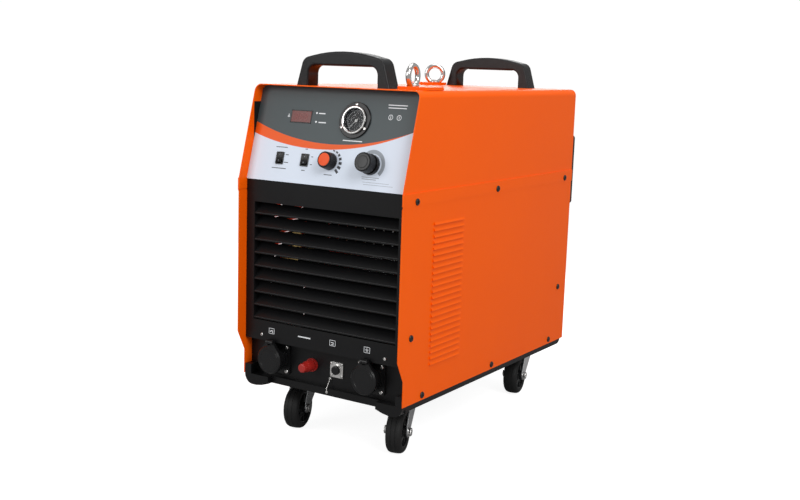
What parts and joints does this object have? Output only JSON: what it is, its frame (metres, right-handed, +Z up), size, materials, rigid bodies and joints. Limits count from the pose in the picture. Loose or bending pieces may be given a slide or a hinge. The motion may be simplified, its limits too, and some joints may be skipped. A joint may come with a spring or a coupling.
{
  "type": "plasma cutter power source",
  "caption": "Sheet-steel cabinet on swivel casters: leaning control panel, louvred front, output sockets, carrying handles, lifting eyes and rear fans.",
  "frame": {"origin": "on the floor, below the middle of the bounding box", "axes": "+X is the width, -Y is the front, +Z is up"},
  "size_m": [0.3378, 0.658, 0.6615],
  "materials": {
    "orange_paint": "fine textured powder coat",
    "tray_paint": "black powder coat",
    "front_plastic": "satin black moulding",
    "handle_plastic": "grained black moulding",
    "control_film": "printed polycarbonate film",
    "panel_steel": "grey powder coat",
    "bright_steel": "bright zinc plate",
    "zinc": "zinc plated steel",
    "black_screw": "black oxide",
    "dark_window": "dark red window",
    "lens": "clear lens",
    "dial": "printed black dial",
    "needle": "white",
    "gloss_black": "gloss black moulding",
    "knob_orange": "orange-red moulding",
    "red_plastic": "red insulating moulding",
    "aluminium": "extruded and cast aluminium",
    "green_board": "coated circuit board",
    "winding": "varnished copper winding",
    "brass": "machined brass",
    "tyre": "black rubber",
    "breaker_grey": "light grey moulding",
    "chain_steel": "nickel plated"
  },
  "bodies": {
    "cabinet": {"base_tray": "tray_paint", "louvre_panel": "front_plastic", "louvre_blades": "front_plastic", "connector_panel": "front_plastic", "front_bumper": "front_plastic", "control_panel": "panel_steel", "control_film": "control_film", "top_cover": "orange_paint", "side_panel_left": "orange_paint", "side_panel_right": "orange_paint", "rear_panel": "orange_paint", "fan_cowl": "front_plastic", "fan_frames": "front_plastic", "handles": "handle_plastic", "case_screws": "black_screw", "eye_bolts": "bright_steel", "lifting_plates": "orange_paint", "display_window": "dark_window", "gauge_case": "gloss_black", "gauge_dial": "dial", "gauge_lens": "lens", "panel_screws": "bright_steel", "switch_housings": "gloss_black", "regulator_body": "aluminium", "output_sockets": "gloss_black", "pilot_post": "red_plastic", "control_socket": "bright_steel", "cap_chain": "chain_steel", "caster_plates": "zinc", "inner_frame": "zinc", "heat_sink": "aluminium", "power_board": "green_board", "control_board": "green_board", "main_transformer": "winding", "output_inductor": "winding", "solenoid_valve": "brass", "breaker": "breaker_grey", "cable_gland": "gloss_black", "air_inlet": "brass"},
    "fan_rotor_left": {"fan_rotor_left": "front_plastic"},
    "fan_rotor_right": {"fan_rotor_right": "front_plastic"},
    "needle": {"gauge_needle": "needle"},
    "left_rocker": {"rocker_left": "gloss_black"},
    "right_rocker": {"rocker_right": "gloss_black"},
    "current_control": {"current_knob": "gloss_black", "current_knob_cap": "knob_orange"},
    "regulator_control": {"regulator_knob": "gloss_black"},
    "torch_dust_lid": {"torch_lid": "gloss_black"},
    "earth_dust_lid": {"earth_lid": "gloss_black"},
    "pilot_clamp": {"pilot_knob": "red_plastic"},
    "small_cap": {"control_cap": "gloss_black"},
    "lever": {"breaker_lever": "gloss_black"},
    "swivel_fl": {"fork_fl": "zinc"},
    "wheel_body_fl": {"wheel_fl": "tyre"},
    "swivel_fr": {"fork_fr": "zinc"},
    "wheel_body_fr": {"wheel_fr": "tyre"},
    "swivel_rl": {"fork_rl": "zinc"},
    "wheel_body_rl": {"wheel_rl": "tyre"},
    "swivel_rr": {"fork_rr": "zinc"},
    "wheel_body_rr": {"wheel_rr": "tyre"}
  },
  "joints": [
    {"name": "fan_spin_left", "type": "hinge", "parent": "cabinet", "child": "fan_rotor_left", "pos_m": [-0.07, 0.2695, 0.44575], "axis": [0, 1, 0], "continuous": true},
    {"name": "fan_spin_right", "type": "hinge", "parent": "cabinet", "child": "fan_rotor_right", "pos_m": [0.07, 0.2695, 0.44575], "axis": [0, 1, 0], "continuous": true},
    {"name": "needle_swing", "type": "hinge", "parent": "cabinet", "child": "needle", "pos_m": [0.0388, -0.2788, 0.55175], "axis": [0, 0.9658, -0.2594], "range_deg": [0, 270]},
    {"name": "rocker_left", "type": "hinge", "parent": "cabinet", "child": "left_rocker", "pos_m": [-0.0998, -0.29828, 0.48305], "axis": [1, 0, 0], "range_deg": [0, 18]},
    {"name": "rocker_right", "type": "hinge", "parent": "cabinet", "child": "right_rocker", "pos_m": [-0.0479, -0.29828, 0.48305], "axis": [1, 0, 0], "range_deg": [0, 18]},
    {"name": "current_turn", "type": "hinge", "parent": "cabinet", "child": "current_control", "pos_m": [0.0033, -0.30854, 0.48726], "axis": [0, 0.9658, -0.2594], "range_deg": [0, 290]},
    {"name": "regulator_turn", "type": "hinge", "parent": "cabinet", "child": "regulator_control", "pos_m": [0.084, -0.31322, 0.48913], "axis": [0, 0.9658, -0.2594], "range_deg": [-720, 720]},
    {"name": "torch_lid_swing", "type": "hinge", "parent": "cabinet", "child": "torch_dust_lid", "pos_m": [-0.1042, -0.3145, 0.1685], "axis": [-1, 0, 0], "range_deg": [0, 100]},
    {"name": "earth_lid_swing", "type": "hinge", "parent": "cabinet", "child": "earth_dust_lid", "pos_m": [0.0919, -0.3145, 0.1685], "axis": [-1, 0, 0], "range_deg": [0, 100]},
    {"name": "pilot_turn", "type": "hinge", "parent": "cabinet", "child": "pilot_clamp", "pos_m": [-0.0305, -0.306, 0.137], "axis": [0, 1, 0], "range_deg": [0, 1080]},
    {"name": "small_cap_turn", "type": "hinge", "parent": "cabinet", "child": "small_cap", "pos_m": [0.0215, -0.297, 0.1372], "axis": [0, 1, 0], "range_deg": [0, 360]},
    {"name": "lever_throw", "type": "hinge", "parent": "cabinet", "child": "lever", "pos_m": [0, 0.29, 0.316], "axis": [1, 0, 0], "range_deg": [0, 64]},
    {"name": "swivel_turn_fl", "type": "hinge", "parent": "cabinet", "child": "swivel_fl", "pos_m": [-0.105, -0.214, 0.085], "axis": [0, 0, 1], "continuous": true},
    {"name": "wheel_spin_fl", "type": "hinge", "parent": "swivel_fl", "child": "wheel_body_fl", "pos_m": [-0.09823, -0.24117, 0.0375], "axis": [0.9703, 0.2419, 0], "continuous": true},
    {"name": "swivel_turn_fr", "type": "hinge", "parent": "cabinet", "child": "swivel_fr", "pos_m": [0.105, -0.214, 0.085], "axis": [0, 0, 1], "continuous": true},
    {"name": "wheel_spin_fr", "type": "hinge", "parent": "swivel_fr", "child": "wheel_body_fr", "pos_m": [0.11365, -0.24063, 0.0375], "axis": [0.9511, 0.309, 0], "continuous": true},
    {"name": "swivel_turn_rl", "type": "hinge", "parent": "cabinet", "child": "swivel_rl", "pos_m": [-0.105, 0.224, 0.085], "axis": [0, 0, 1], "continuous": true},
    {"name": "wheel_spin_rl", "type": "hinge", "parent": "swivel_rl", "child": "wheel_body_rl", "pos_m": [-0.09918, 0.19661, 0.0375], "axis": [0.9781, 0.2079, 0], "continuous": true},
    {"name": "swivel_turn_rr", "type": "hinge", "parent": "cabinet", "child": "swivel_rr", "pos_m": [0.105, 0.224, 0.085], "axis": [0, 0, 1], "continuous": true},
    {"name": "wheel_spin_rr", "type": "hinge", "parent": "swivel_rr", "child": "wheel_body_rr", "pos_m": [0.10986, 0.19642, 0.0375], "axis": [0.9848, 0.1736, 0], "continuous": true}
  ]
}
